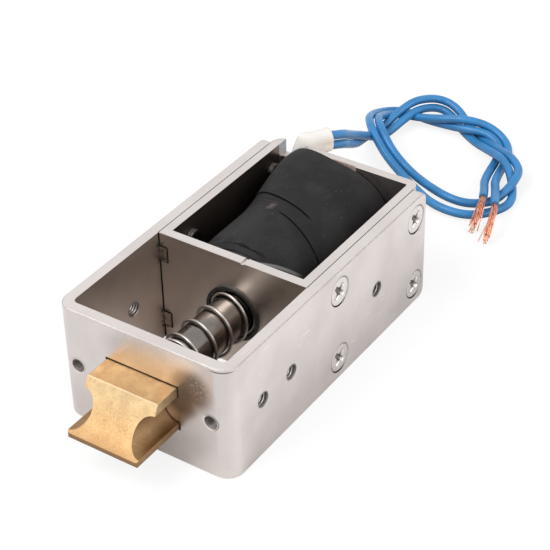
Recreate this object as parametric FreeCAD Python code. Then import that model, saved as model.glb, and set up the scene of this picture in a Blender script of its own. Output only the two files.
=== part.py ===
import FreeCAD
import Part

import math
import os

V = FreeCAD.Vector

# Driving sizes, in millimetres.
# X runs across the width, Y from the latch bolt towards the coil, Z up.
# Distances called "_y" are measured back from the outer face of the front plate.

# Outer bracket
bracket_width = 36.0
bracket_length = 63.8
height = 23.5
bracket_sheet = 2.2
bracket_bend_inside = 1.0
wall_corner_round = 1.8
outer_edge_round = 0.3
mount_hole_ys = (9.5, 18.1, 46.3)
mount_thread_bore = 2.7
front_hole_inset = 4.0
front_hole_bore = 2.6

# Countersunk screws that hold the coil frame in the bracket
screw_behind_yoke = 7.2
screw_from_rear = 3.7
screw_rise = 7.35
screw_thread = 3.0
screw_head = 5.9
screw_length = 5.0
screw_clearance = 0.1
recess_width = 0.7
recess_span = 3.0
recess_depth = 1.3
recess_tip_radius = 0.35

# Coil frame and yoke plate
frame_sheet = 1.8
frame_bend_inside = 0.4
yoke_y = 26.5
frame_rear_proud = 1.5
tab_height = 3.3
tab_spacing = 14.7
tab_proud = 0.15
yoke_nick_x = 2.4
yoke_nick_width = 0.7
yoke_nick_depth = 0.25
lead_notch_play = 0.275
lead_notch_depth = 2.8
lead_notch_round = 0.6

# Bobbin, winding and tape
collar_wall = 0.65
collar_proud = 0.4
spring_seat_depth = 1.5
bobbin_tube_wall = 1.0
bobbin_flange = 1.1
bobbin_flange_proud = 0.2
winding_base_gap = 0.55
tape_sheet = 1.7
tape_side_gap = 1.1
tape_wall_gap = 0.4
tape_end_drop = 0.5
tape_underside = 0.25
tape_inset = 0.25
lead_pad_height = 3.3
lead_pad_angle = 128.0
lead_pad_spread = 34.0
lead_pad_start = 0.45
tape_stations = (0.0, 0.12, 0.35, 0.5, 0.65, 0.8, 0.92, 1.0)
tape_ring_points = 32

# Plunger, core and spring
plunger_radius = 4.0
plunger_chamfer = 0.6
running_gap = 0.1
stroke = 10.0
core_stop_gap = 0.3
core_length = 11.0
core_rivet_radius = 2.6
core_rivet_head_radius = 3.6
core_rivet_head = 0.7
core_rivet_chamfer = 0.5
neck_radius = 2.5
ring_groove_depth = 0.9
ring_proud = 0.8
ring_sheet = 0.8
ring_opening = 4.0
ring_bolt_gap = 0.3
ring_relief_radius = 0.9
ring_relief_inset = 0.1
ring_relief_turns = (35, 145)
spring_wire = 0.6
spring_plunger_gap = 0.2
spring_turns = 4.0
spring_closed_turns = 1.0
spring_blend_turns = 0.5
spring_coil_gap = 0.03
spring_corners_per_turn = 10
spring_seat_gap = 0.15
spring_start_turn = 0.27

# Latch bolt
bolt_width = 14.7
bolt_height = 9.0
bolt_reach = 11.7
bolt_top_reach = 5.2
bolt_rear_y = 8.2
bolt_lip = 1.1
bolt_edge_round = 0.25
bolt_slant_hollow = 0.6
bolt_corner_round = 0.4
groove_radius = 2.85
groove_drop = 0.2
bolt_bore_depth = 6.8
pin_radius = 1.0
pin_proud = 1.2
pin_gap = 0.05
pin_chamfer = 0.25

# Insulation and leads
paper_width = 5.0
paper_core_gap = 0.45
paper_sheet = 0.25
paper_proud = 0.3
paper_x = 0.3
wire_diameter = 1.8
sleeve_pitch = 2.2
sleeve_wall = 0.4
sleeve_play = 0.1
sleeve_turn = 36.87
sleeve_reach = 4.7
sleeve_start_inset = 0.8
strand_bundle_radius = 0.62
strand_straight = 3.0
strand_tips = {1: (16.4, 85.6), -1: (20.6, 83.2)}

# Route of the pair of leads, along the middle of the pair: x, y, z, then how far the
# pair has turned about that line in degrees and the distance between the two leads
lead_route = [
    (-9.5, 66.8, 23.2, 90, 2.2),
    (-5.3, 72.4, 23.2, 90, 2.2),
    (-6.2, 79.0, 19.4, 85, 2.3),
    (-9.6, 85.4, 15.0, 70, 2.3),
    (-13.2, 91.2, 10.5, 50, 2.3),
    (-16.9, 96.9, 6.2, 28, 2.2),
    (-19.8, 102.9, 2.5, 8, 2.1),
    (-17.7, 109.2, 1.5, 0, 2.0),
    (-16.2, 114.6, 3.6, 0, 2.0),
    (-14.8, 119.2, 4.6, 0, 2.0),
    (-11.2, 122.6, 4.2, 0, 2.0),
    (-6.8, 123.8, 2.0, 0, 2.0),
    (-2.1, 122.8, 1.3, 20, 2.1),
    (2.3, 120.8, 2.0, 70, 2.2),
    (7.3, 117.4, 2.2, 130, 2.3),
    (11.9, 112.9, 1.4, 180, 2.1),
    (14.7, 107.7, 1.1, 180, 2.0),
    (16.6, 101.8, 1.1, 180, 2.0),
    (15.9, 96.5, 1.0, 180, 2.2),
    (12.3, 92.2, 1.1, 180, 3.0),
    (6.6, 91.2, 1.6, 180, 3.4),
    (0.4, 94.0, 1.5, 180, 2.8),
    (-5.1, 96.9, 1.5, 180, 2.1),
    (-10.5, 99.0, 3.5, 180, 2.0),
    (-15.0, 101.5, 6.1, 180, 2.0),
    (-18.2, 105.2, 6.2, 180, 2.0),
    (-20.7, 109.4, 4.5, 180, 2.0),
    (-21.0, 114.2, 3.0, 180, 2.0),
    (-18.6, 118.2, 1.5, 180, 2.0),
    (-14.1, 120.3, 1.0, 180, 2.0),
    (-9.1, 120.1, 1.0, 180, 2.0),
    (-4.3, 118.8, 1.5, 200, 2.1),
    (0.7, 116.3, 2.0, 250, 2.2),
    (5.6, 112.5, 2.3, 310, 2.3),
    (9.9, 107.7, 2.8, 360, 2.1),
    (12.5, 102.3, 3.1, 360, 2.2),
    (14.4, 97.2, 3.9, 360, 2.3),
    (16.7, 92.5, 4.6, 360, 2.5),
]

# Sizes that follow
half_width = bracket_width / 2
inside_half = half_width - bracket_sheet
coil_half = inside_half - frame_sheet
axis_z = height / 2
front_hole_x = half_width - front_hole_inset
yoke_rear_y = yoke_y + frame_sheet
frame_rear_y = bracket_length + frame_rear_proud
rear_wall_y = frame_rear_y - frame_sheet
screw_ys = (yoke_y + screw_behind_yoke, bracket_length - screw_from_rear)

# The winding is as large as the smaller of the frame's height and width leaves room for
winding_radius = min(axis_z - winding_base_gap, coil_half - tape_side_gap - tape_sheet)
tape_radius = winding_radius + tape_sheet
bobbin_flange_radius = winding_radius + bobbin_flange_proud
winding_front_y = yoke_rear_y + bobbin_flange
winding_rear_y = rear_wall_y - tape_inset - bobbin_flange

bore_radius = plunger_radius + running_gap
tube_radius = bore_radius + bobbin_tube_wall
ring_radius = plunger_radius + ring_proud
ring_groove_radius = plunger_radius - ring_groove_depth
spring_outer_radius = plunger_radius + spring_plunger_gap + spring_wire
seat_radius = spring_outer_radius + spring_seat_gap
collar_radius = seat_radius + collar_wall
seat_y = yoke_y - collar_proud + spring_seat_depth
core_front_y = rear_wall_y - core_length
plunger_rear_y = core_front_y - core_stop_gap - stroke
ring_y = bolt_rear_y + ring_bolt_gap
ring_rear_y = ring_y + ring_sheet
pin_y = bracket_sheet + pin_radius + pin_gap

# The sleeve lies in the notch of the rear wall and leaves it at a slant
slant = math.radians(sleeve_turn)
sleeve_hole = wire_diameter + 2 * sleeve_play
sleeve_thick = sleeve_hole + 2 * sleeve_wall
sleeve_tall = sleeve_thick + sleeve_pitch
notch_width = (
    sleeve_thick / math.cos(slant) + frame_sheet * math.tan(slant) + 2 * lead_notch_play
)
sleeve_end = V(
    notch_width / 2 - coil_half + (sleeve_reach + frame_sheet / 2) * math.tan(slant),
    frame_rear_y + sleeve_reach,
    height - lead_notch_depth + sleeve_tall / 2,
)
sleeve_start_y = frame_rear_y - sleeve_start_inset
sleeve_rear_y = sleeve_end.y + math.sin(slant) * sleeve_thick / 2
origin_y = (sleeve_rear_y - bolt_reach) / 2


def save(shape, node):
    """Move a piece so that the origin is under the middle of the length, and write it."""
    placed = shape.copy()
    placed.translate(V(0, -origin_y, 0))
    placed.exportStep("parts/" + node + ".step")
    if not placed.isValid():
        print("not valid:", node)


def box(x0, x1, y0, y1, z0, z1):
    return Part.makeBox(x1 - x0, y1 - y0, z1 - z0, V(x0, y0, z0))


def rod_x(radius, x0, x1, y, z):
    return Part.makeCylinder(radius, abs(x1 - x0), V(min(x0, x1), y, z), V(1, 0, 0))


def rod_y(radius, y0, y1, x=0.0, z=axis_z):
    return Part.makeCylinder(radius, y1 - y0, V(x, y0, z), V(0, 1, 0))


def edges_that(shape, test):
    """Pick the edges whose two ends both pass the test."""
    return [e for e in shape.Edges if all(test(v.Point) for v in e.Vertexes)]


def near(a, b):
    return abs(a - b) < 1e-4


def upright(edges):
    """Keep the edges that stand along Z."""
    return [e for e in edges if near(e.BoundBox.ZLength, e.Length)]


def lathe_y(profile):
    """Turn a closed outline of (radius, y) points about the plunger axis."""
    points = [V(r, y, axis_z) for r, y in profile]
    face = Part.Face(Part.makePolygon(points + points[:1]))
    return face.revolve(V(0, 0, axis_z), V(0, 1, 0), 360)


def channel(half, inner, y_open, y_closed, bend_inside, sheet):
    """A U of sheet seen from above: its closed end is at y_closed, its legs reach y_open."""
    y0, y1 = sorted((y_open, y_closed))
    outer = box(-half, half, y0, y1, 0, height)
    closed_end = edges_that(outer, lambda p: near(p.y, y_closed))
    outer = outer.makeFillet(bend_inside + sheet, upright(closed_end))
    inside = sheet if y_closed < y_open else -sheet
    i0, i1 = sorted((y_open + (y_open - y_closed), y_closed + inside))
    hollow = box(-inner, inner, i0, i1, -1, height + 1)
    closed_end = edges_that(hollow, lambda p: near(p.y, y_closed + inside))
    hollow = hollow.makeFillet(bend_inside, upright(closed_end))
    return outer.cut(hollow)


# Latch bolt and the slot that it slides in
def bolt_outline(grow=0.0):
    """The bolt seen end on: a flat bar with a round groove down each side."""
    w = bolt_width / 2 + grow
    z0 = axis_z - bolt_height / 2 - grow
    z1 = axis_z + bolt_height / 2 + grow
    zc = axis_z - groove_drop
    r = groove_radius - grow
    corners = [V(-w, 0, z0), V(w, 0, z0), V(w, 0, zc - r), V(w, 0, zc + r)]
    corners += [V(w, 0, z1), V(-w, 0, z1), V(-w, 0, zc + r), V(-w, 0, zc - r)]
    sides = [
        Part.LineSegment(corners[0], corners[1]),
        Part.LineSegment(corners[1], corners[2]),
        Part.Arc(corners[2], V(w - r, 0, zc), corners[3]),
        Part.LineSegment(corners[3], corners[4]),
        Part.LineSegment(corners[4], corners[5]),
        Part.LineSegment(corners[5], corners[6]),
        Part.Arc(corners[6], V(r - w, 0, zc), corners[7]),
        Part.LineSegment(corners[7], corners[0]),
    ]
    return Part.Face(Part.Wire([s.toShape() for s in sides]))


def slant_cutter():
    """The space in front of the bolt's slanted, slightly hollow face."""
    top = V(0, -bolt_top_reach, axis_z + bolt_height / 2)
    low = V(0, -bolt_reach, axis_z - bolt_height / 2 + bolt_lip)
    inwards = V(1, 0, 0).cross(low - top).normalize()
    above = V(0, -bolt_top_reach, height)
    front = V(0, -2 * bolt_reach, height)
    below = V(0, -2 * bolt_reach, low.z)
    sides = [
        Part.Arc(top, (top + low) * 0.5 + inwards * bolt_slant_hollow, low),
        Part.LineSegment(low, below),
        Part.LineSegment(below, front),
        Part.LineSegment(front, above),
        Part.LineSegment(above, top),
    ]
    face = Part.Face(Part.Wire([s.toShape() for s in sides]))
    face.translate(V(-bracket_width, 0, 0))
    return face.extrude(V(2 * bracket_width, 0, 0))


def rounded_nose():
    """The bolt's outline seen from above, with rounded front corners, as a block."""
    half = bolt_width / 2
    block = box(-half, half, -bolt_reach, bolt_rear_y, 0, height)
    corners = edges_that(block, lambda p: near(p.y, -bolt_reach))
    return block.makeFillet(bolt_corner_round, upright(corners))


def make_latch_bolt():
    bar = bolt_outline().extrude(V(0, bolt_reach + bolt_rear_y, 0))
    bar.translate(V(0, -bolt_reach, 0))
    z0 = axis_z - bolt_height / 2
    z1 = axis_z + bolt_height / 2
    long_edges = [
        e
        for e in edges_that(bar, lambda p: near(abs(p.x), bolt_width / 2))
        if e.Length > bolt_reach and (near(e.Vertexes[0].Z, z0) or near(e.Vertexes[0].Z, z1))
    ]
    bar = bar.makeFillet(bolt_edge_round, long_edges)
    bar = bar.cut(slant_cutter()).common(rounded_nose())
    bar = bar.cut(rod_y(neck_radius, bolt_rear_y - bolt_bore_depth, bolt_rear_y + 1))
    return bar.cut(pin_shape())


def pin_shape():
    length = bolt_height + 2 * pin_proud
    return Part.makeCylinder(pin_radius, length, V(0, pin_y, axis_z - length / 2))


def make_bolt_pin():
    length = bolt_height + 2 * pin_proud
    pin = pin_shape()
    ends = edges_that(pin, lambda p: near(abs(p.z - axis_z), length / 2))
    rims = [e for e in ends if e.Length < 3 * length and near(e.BoundBox.ZLength, 0)]
    return pin.makeChamfer(pin_chamfer, rims)


# Outer bracket
def screw_places():
    """Every screw as (side, y, z), with side -1 on the left and 1 on the right."""
    return [
        (side, y, axis_z + rise)
        for side in (-1, 1)
        for y in screw_ys
        for rise in (-screw_rise, screw_rise)
    ]


def countersink(side, y, z):
    """The cone of a screw head, with its flat flush with the bracket's wall."""
    depth = (screw_head - screw_thread) / 2
    return Part.makeCone(screw_head / 2, screw_thread / 2, depth, V(side * half_width, y, z), V(-side, 0, 0))


def make_outer_bracket():
    body = channel(
        half_width, inside_half, bracket_length, 0.0, bracket_bend_inside, bracket_sheet
    )
    corners = [
        e
        for e in edges_that(body, lambda p: near(p.y, bracket_length))
        if near(e.BoundBox.XLength, bracket_sheet)
    ]
    body = body.makeFillet(wall_corner_round, corners)
    rims = [
        e
        for e in body.Edges
        if (near(e.BoundBox.ZMin, height) or near(e.BoundBox.ZMax, 0.0))
        and on_outer_face(e)
    ]
    body = body.makeFillet(outer_edge_round, rims)
    slot = bolt_outline(running_gap).extrude(V(0, 3 * bracket_sheet, 0))
    slot.translate(V(0, -bracket_sheet, 0))
    cuts = [slot]
    for x in (-front_hole_x, front_hole_x):
        cuts.append(rod_y(front_hole_bore / 2, -1, bracket_sheet + 1, x))
    for y in mount_hole_ys:
        cuts.append(rod_x(mount_thread_bore / 2, -half_width - 1, half_width + 1, y, axis_z))
    for side, y, z in screw_places():
        shank = screw_thread / 2 + screw_clearance
        cuts.append(rod_x(shank, side * (inside_half - 0.5), side * (half_width + 1), y, z))
        cuts.append(countersink(side, y, z))
    return body.cut(cuts)


def on_outer_face(edge):
    """True for the edges along the outside of the bracket's front and side walls."""
    p = edge.valueAt((edge.FirstParameter + edge.LastParameter) / 2)
    bend = bracket_sheet + bracket_bend_inside
    corner = V(half_width - bend, bend, 0)
    on_bend = near(math.hypot(abs(p.x) - corner.x, p.y - corner.y), bend) and p.y < bend
    return near(abs(p.x), half_width) or near(p.y, 0.0) or on_bend


# Coil frame: a U with its closed end at the rear, and the yoke plate staked on its tabs
def tab_zs():
    return (axis_z - tab_spacing / 2, axis_z + tab_spacing / 2)


def make_coil_frame():
    body = channel(
        inside_half, coil_half, yoke_rear_y, frame_rear_y, frame_bend_inside, frame_sheet
    )
    tabs = []
    for side in (-1, 1):
        x0, x1 = sorted((side * coil_half, side * inside_half))
        for z in tab_zs():
            z0 = z - tab_height / 2
            tabs.append(box(x0, x1, yoke_y - tab_proud, yoke_rear_y, z0, z0 + tab_height))
    body = body.fuse(tabs).removeSplitter()
    notch = box(
        -coil_half,
        notch_width - coil_half,
        rear_wall_y - 1,
        frame_rear_y + 1,
        height - lead_notch_depth,
        height + 1,
    )
    inner_corner = [
        e
        for e in edges_that(notch, lambda p: near(p.z, height - lead_notch_depth))
        if near(e.BoundBox.XLength, 0) and e.Vertexes[0].Point.x > -coil_half + 1
    ]
    notch = notch.makeFillet(lead_notch_round, inner_corner)
    cuts = [notch, rod_y(core_rivet_radius, rear_wall_y - 1, frame_rear_y + 1)]
    for side, y, z in screw_places():
        cuts.append(rod_x(screw_thread / 2, side * (coil_half - 1), side * (inside_half + 1), y, z))
    cuts.append(
        rod_x(mount_thread_bore / 2, -half_width, half_width, mount_hole_ys[2], axis_z)
    )
    return body.cut(cuts)


def make_yoke_plate():
    plate = box(-inside_half, inside_half, yoke_y, yoke_rear_y, 0, height)
    cuts = [rod_y(collar_radius, yoke_y - 1, yoke_rear_y + 1)]
    for side in (-1, 1):
        x0, x1 = sorted((side * coil_half, side * (inside_half + 1)))
        for z in tab_zs():
            z0 = z - tab_height / 2
            cuts.append(box(x0, x1, yoke_y - 1, yoke_rear_y + 1, z0, z0 + tab_height))
    x0 = yoke_nick_x - yoke_nick_width / 2
    x1 = yoke_nick_x + yoke_nick_width / 2
    cuts.append(box(x0, x1, yoke_y - 1, yoke_rear_y + 1, height - yoke_nick_depth, height + 1))
    return plate.cut(cuts)


# Bobbin, winding and tape
def make_coil_bobbin():
    """Tube, two flanges and a collar that fills the yoke plate's hole and seats the spring."""
    front = yoke_y - collar_proud
    flange_front = yoke_rear_y + bobbin_flange
    rear_y = rear_wall_y - tape_inset
    return lathe_y(
        [
            (seat_radius, front),
            (collar_radius, front),
            (collar_radius, yoke_rear_y),
            (bobbin_flange_radius, yoke_rear_y),
            (bobbin_flange_radius, flange_front),
            (tube_radius, flange_front),
            (tube_radius, rear_y - bobbin_flange),
            (bobbin_flange_radius, rear_y - bobbin_flange),
            (bobbin_flange_radius, rear_y),
            (bore_radius, rear_y),
            (bore_radius, seat_y),
            (seat_radius, seat_y),
        ]
    )


def make_coil_winding():
    return lathe_y(
        [
            (tube_radius, winding_front_y),
            (winding_radius, winding_front_y),
            (winding_radius, winding_rear_y),
            (tube_radius, winding_rear_y),
        ]
    )


def tape_outline(y, share):
    """One closed outline of the taped coil; share runs from 0 at the front to 1 at the rear.

    The radius is largest in the middle, falls off a little at both ends, and swells
    over the pad that covers the lead joints at the upper left towards the rear.
    """
    crown = tape_radius - tape_end_drop * (2 * share - 1) ** 4
    growth = max(0.0, share - lead_pad_start) / (1 - lead_pad_start)
    swell = lead_pad_height * math.sin(growth * math.pi / 2) ** 1.5
    points = []
    for k in range(tape_ring_points):
        turn = 360.0 * k / tape_ring_points
        off = (turn - lead_pad_angle + 180) % 360 - 180
        radius = crown + swell * math.exp(-((off / lead_pad_spread) ** 2) * 2)
        x = radius * math.cos(math.radians(turn))
        z = axis_z + radius * math.sin(math.radians(turn))
        points.append(V(max(tape_wall_gap - coil_half, x), y, z))
    curve = Part.BSplineCurve()
    curve.interpolate(points, PeriodicFlag=True)
    return Part.Wire(curve.toShape())


def make_coil_tape():
    y0, y1 = winding_front_y, winding_rear_y
    wires = [tape_outline(y0 + (y1 - y0) * share, share) for share in tape_stations]
    shell = Part.makeLoft(wires, True)
    below = box(-half_width, half_width, y0 - 1, y1 + 1, -height, tape_underside)
    return shell.cut([below, rod_y(winding_radius, y0 - 1, y1 + 1)])


# Round wire along a rounded path
def rounded_path(corners):
    """Straight runs joined by tangent arcs, and the radius of each arc."""
    edges = []
    radii = []
    start = corners[0]
    for before, corner, after in zip(corners, corners[1:], corners[2:]):
        back = before - corner
        ahead = after - corner
        reach = 0.45 * min(back.Length, ahead.Length)
        half_turn = (math.pi - back.getAngle(ahead)) / 2
        bend = reach / math.tan(half_turn)
        back.normalize()
        ahead.normalize()
        middle = (back + ahead).normalize()
        first = corner + back * reach
        last = corner + ahead * reach
        nearest = corner + middle * (bend / math.cos(half_turn) - bend)
        edges.append(Part.LineSegment(start, first).toShape())
        edges.append(Part.Arc(first, nearest, last).toShape())
        radii.append(bend)
        start = last
    edges.append(Part.LineSegment(start, corners[-1]).toShape())
    return Part.Wire(edges), radii


def tube(corners, radius):
    """Sweep a round solid along the rounded path through the corners."""
    path, _ = rounded_path(corners)
    section = Part.Wire(Part.Circle(corners[0], corners[1] - corners[0], radius).toShape())
    return path.makePipe(Part.Face(section))


# Plunger, core, retaining ring and spring
def make_fixed_core():
    """End stop in the bobbin's bore, riveted through the rear wall."""
    return lathe_y(
        [
            (0, core_front_y),
            (plunger_radius, core_front_y),
            (plunger_radius, rear_wall_y),
            (core_rivet_radius, rear_wall_y),
            (core_rivet_radius, frame_rear_y),
            (core_rivet_head_radius, frame_rear_y),
            (core_rivet_head_radius - core_rivet_chamfer, frame_rear_y + core_rivet_head),
            (0, frame_rear_y + core_rivet_head),
        ]
    )


def make_plunger():
    neck_front = bolt_rear_y - bolt_bore_depth
    body = lathe_y(
        [
            (0, neck_front),
            (neck_radius, neck_front),
            (neck_radius, bolt_rear_y),
            (plunger_radius, bolt_rear_y),
            (plunger_radius, ring_y),
            (ring_groove_radius, ring_y),
            (ring_groove_radius, ring_rear_y),
            (plunger_radius, ring_rear_y),
            (plunger_radius, plunger_rear_y - plunger_chamfer),
            (plunger_radius - plunger_chamfer, plunger_rear_y),
            (0, plunger_rear_y),
        ]
    )
    return body.cut(pin_shape())


def make_retaining_ring():
    """An E-shaped ring pushed into the plunger's groove from below."""
    ring = rod_y(ring_radius, ring_y, ring_rear_y)
    half = ring_opening / 2
    mouth = box(-half, half, ring_y - 1, ring_rear_y + 1, 0, axis_z)
    cuts = [rod_y(ring_groove_radius, ring_y - 1, ring_rear_y + 1), mouth]
    middle = ring_groove_radius + ring_relief_inset
    for turn in ring_relief_turns:
        x = middle * math.cos(math.radians(turn))
        z = axis_z + middle * math.sin(math.radians(turn))
        cuts.append(rod_y(ring_relief_radius, ring_y - 1, ring_rear_y + 1, x, z))
    return ring.cut(cuts)


def spring_climb(turn, turns, free):
    """How far the spring's wire has risen along the axis after so many of its turns.

    Each end starts with closed turns that lie beside each other, then the rise per
    turn grows smoothly over spring_blend_turns to the even rise of the open turns.
    """
    if turn > turns / 2:
        return free - spring_climb(turns - turn, turns, free)
    closed = spring_wire + spring_coil_gap
    extra = (free - turns * closed) / (spring_turns - spring_blend_turns)
    into = max(0.0, turn - spring_closed_turns)
    u = min(1.0, into / spring_blend_turns)
    blended = spring_blend_turns * (u**3 - u**4 / 2)
    return closed * turn + extra * (blended + max(0.0, into - spring_blend_turns))


def make_return_spring():
    """Round wire wound with open turns between one closed turn at each end."""
    turns = spring_turns + 2 * spring_closed_turns
    free = seat_y - ring_rear_y - spring_wire
    radius = spring_outer_radius - spring_wire / 2
    step = 1 / spring_corners_per_turn

    def on_coil(turn, out):
        angle = 2 * math.pi * (turn - spring_start_turn)
        y = ring_rear_y + spring_wire / 2 + spring_climb(turn, turns, free)
        return V(out * math.cos(angle), y, axis_z + out * math.sin(angle))

    corner_radius = radius / math.cos(math.pi * step)
    corners = [on_coil(0, radius)]
    corners += [on_coil((k + 0.5) * step, corner_radius) for k in range(round(turns / step))]
    corners.append(on_coil(turns, radius))
    return tube(corners, spring_wire / 2)


# Screws
def make_screw(side, y, z):
    thread_end = side * (half_width - screw_length)
    head_depth = (screw_head - screw_thread) / 2
    head = countersink(side, y, z)
    shank = rod_x(screw_thread / 2, side * (half_width - head_depth), thread_end, y, z)
    screw = head.fuse(shank).removeSplitter()
    reach = side * half_width
    x0, x1 = sorted((reach + side, reach - side * recess_depth))
    arm = recess_span / 2
    half = recess_width / 2
    recess = box(x0, x1, y - arm, y + arm, z - half, z + half)
    recess = recess.fuse(box(x0, x1, y - half, y + half, z - arm, z + arm))
    taper = Part.makeCone(arm, recess_tip_radius, recess_depth, V(reach, y, z), V(-side, 0, 0))
    return screw.cut(recess.common(taper))


# Insulation paper, sleeve, leads and strands
def make_insulation_paper():
    x0 = paper_x - paper_width / 2
    y0 = rear_wall_y - paper_sheet
    z0 = axis_z + plunger_radius + paper_core_gap
    return box(x0, x0 + paper_width, y0, rear_wall_y, z0, height + paper_proud)


def oval_face(middle, across, width, tall):
    """An upright oval with flat sides, facing along the leads."""
    half = width / 2
    rise = tall / 2 - half
    side = across * half
    up = V(0, 0, rise)
    top = V(0, 0, rise + half)
    a, b = middle + side - up, middle + side + up
    c, d = middle - side + up, middle - side - up
    edges = [
        Part.LineSegment(a, b),
        Part.Arc(b, middle + top, c),
        Part.LineSegment(c, d),
        Part.Arc(d, middle - top, a),
    ]
    return Part.Face(Part.Wire([e.toShape() for e in edges]))


def make_lead_sleeve():
    along = V(math.sin(slant), math.cos(slant), 0)
    across = V(math.cos(slant), -math.sin(slant), 0)
    length = (sleeve_end.y - sleeve_start_y) / math.cos(slant)
    start = sleeve_end - along * length
    outer = oval_face(start, across, sleeve_thick, sleeve_tall)
    inner = oval_face(start, across, sleeve_hole, sleeve_hole + sleeve_pitch)
    return outer.cut(inner).extrude(along * length)


def lead_points(side):
    """The corners of one lead's middle line; the two leads are side 1 and side -1."""
    middles = [V(x, y, z) for x, y, z, _, _ in lead_route]
    corners = []
    for k, (_, _, _, turn, pitch) in enumerate(lead_route):
        ahead = middles[min(k + 1, len(middles) - 1)] - middles[max(k - 1, 0)]
        across = V(ahead.y, -ahead.x, 0).normalize()
        angle = math.radians(turn)
        apart = across * math.cos(angle) + V(0, 0, math.sin(angle))
        corners.append(middles[k] + apart * (side * pitch / 2))
    return corners


def make_lead_wire(side):
    corners = lead_points(side)
    radius = wire_diameter / 2
    solid = tube(corners, radius)
    path, radii = rounded_path(corners)
    ratio = solid.Volume / (math.pi * radius**2 * path.Length)
    print("lead length", round(path.Length, 1), "volume over section x length", round(ratio, 4))
    print("bend radii", [round(r, 1) for r in radii])
    return solid


def make_wire_strands(side):
    """The bare strands as one round bundle that runs on from the lead down to the floor."""
    before, end = lead_points(side)[-2:]
    ahead = (end - before).normalize()
    x, y = strand_tips[side]
    tip = V(x, y, strand_bundle_radius)
    return tube([end, end + ahead * strand_straight, tip], strand_bundle_radius)


def main():
    os.makedirs("parts", exist_ok=True)
    save(make_outer_bracket(), "outer_bracket")
    save(make_coil_frame(), "coil_frame")
    save(make_yoke_plate(), "yoke_plate")
    save(make_coil_bobbin(), "coil_bobbin")
    save(make_coil_winding(), "coil_winding")
    save(make_coil_tape(), "coil_tape")
    save(make_fixed_core(), "fixed_core")
    save(make_plunger(), "plunger")
    save(make_retaining_ring(), "retaining_ring")
    save(make_return_spring(), "return_spring")
    save(make_latch_bolt(), "latch_bolt")
    save(make_bolt_pin(), "bolt_pin")
    save(make_insulation_paper(), "insulation_paper")
    save(make_lead_sleeve(), "lead_sleeve")
    for side, y, z in screw_places():
        name = ("left" if side < 0 else "right") + ("_front" if y == screw_ys[0] else "_rear")
        level = "_low" if z < axis_z else "_high"
        save(make_screw(side, y, z), "screw_" + name + level)
    for side, letter in ((1, "a"), (-1, "b")):
        save(make_lead_wire(side), "lead_wire_" + letter)
        save(make_wire_strands(side), "wire_strands_" + letter)


main()
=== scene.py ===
import math

import bmesh
import bpy
import numpy as np
from bpy.props import FloatProperty, FloatVectorProperty, PointerProperty
from mathutils import Matrix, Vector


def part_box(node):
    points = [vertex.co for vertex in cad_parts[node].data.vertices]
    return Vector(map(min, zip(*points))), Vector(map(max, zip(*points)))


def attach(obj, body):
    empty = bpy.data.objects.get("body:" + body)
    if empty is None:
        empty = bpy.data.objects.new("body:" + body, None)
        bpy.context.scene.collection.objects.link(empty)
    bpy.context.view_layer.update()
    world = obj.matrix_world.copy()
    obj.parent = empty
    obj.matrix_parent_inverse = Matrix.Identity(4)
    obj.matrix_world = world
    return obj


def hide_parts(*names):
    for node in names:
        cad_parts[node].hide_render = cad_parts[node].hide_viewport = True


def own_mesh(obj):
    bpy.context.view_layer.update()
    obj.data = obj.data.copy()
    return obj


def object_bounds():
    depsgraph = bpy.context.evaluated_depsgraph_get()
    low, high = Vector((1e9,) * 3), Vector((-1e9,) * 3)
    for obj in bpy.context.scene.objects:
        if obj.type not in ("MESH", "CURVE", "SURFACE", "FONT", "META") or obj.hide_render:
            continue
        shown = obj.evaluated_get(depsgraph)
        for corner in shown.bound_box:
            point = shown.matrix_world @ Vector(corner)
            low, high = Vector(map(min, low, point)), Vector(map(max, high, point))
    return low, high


bl_info = {
    "name": "Solenoid latch looks",
    "version": (1, 0, 0),
    "blender": (4, 5, 0),
    "location": "View3D > Sidebar > Solenoid",
    "description": "Leads, spring, tape, threads and finishes of a push pull solenoid latch",
    "category": "Object",
}

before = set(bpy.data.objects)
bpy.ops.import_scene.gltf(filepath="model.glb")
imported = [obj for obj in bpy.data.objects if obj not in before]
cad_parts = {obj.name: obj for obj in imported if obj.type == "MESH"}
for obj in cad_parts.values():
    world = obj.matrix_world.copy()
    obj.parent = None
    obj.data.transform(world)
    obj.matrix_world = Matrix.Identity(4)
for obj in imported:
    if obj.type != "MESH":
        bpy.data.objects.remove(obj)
CAD_BOX = [list(corner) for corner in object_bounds()]
FIXED = "frame_and_coil"
MM = 0.001

# Names in Y are places in the frame's own metres, from the front plate towards the coil.
SHEET = 2.2 * MM
FRAME_SHEET = 1.8 * MM
PLATE_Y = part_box("outer_bracket")[0].y
HALF_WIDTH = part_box("outer_bracket")[1].x
AXIS_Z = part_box("outer_bracket")[1].z / 2
YOKE_FRONT_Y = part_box("yoke_plate")[0].y
TAPE_FRONT_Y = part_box("coil_tape")[0].y
TAPE_REAR_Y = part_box("coil_tape")[1].y
SPRING_FRONT_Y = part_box("retaining_ring")[1].y
SPRING_SEAT_Y = PLATE_Y + 27.6 * MM
PLATE_REAR_Y = PLATE_Y + SHEET
INSIDE_HALF = HALF_WIDTH - SHEET
COIL_HALF = INSIDE_HALF - FRAME_SHEET
SCREW_YS = (PLATE_Y + 33.7 * MM, PLATE_Y + 60.1 * MM)
SCREW_RISE = 7.35 * MM
TAPPED_YS = (PLATE_Y + 9.5 * MM, PLATE_Y + 18.1 * MM, PLATE_Y + 46.3 * MM)
TAPPED_RADIUS = 1.36 * MM
FRONT_HOLE_X = HALF_WIDTH - 4.0 * MM
FRONT_HOLE_RADIUS = 1.3 * MM
SLOT_HALF = 7.5 * MM
SLOT_RISE = 4.65 * MM
TAB_HALF = 1.65 * MM
# Place of a painted shadow: a thin dark crescent under the top edge at the front right corner.
CORNER_SHADOW = (16.2 * MM, PLATE_Y + 0.6 * MM, 22.9 * MM)

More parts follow.
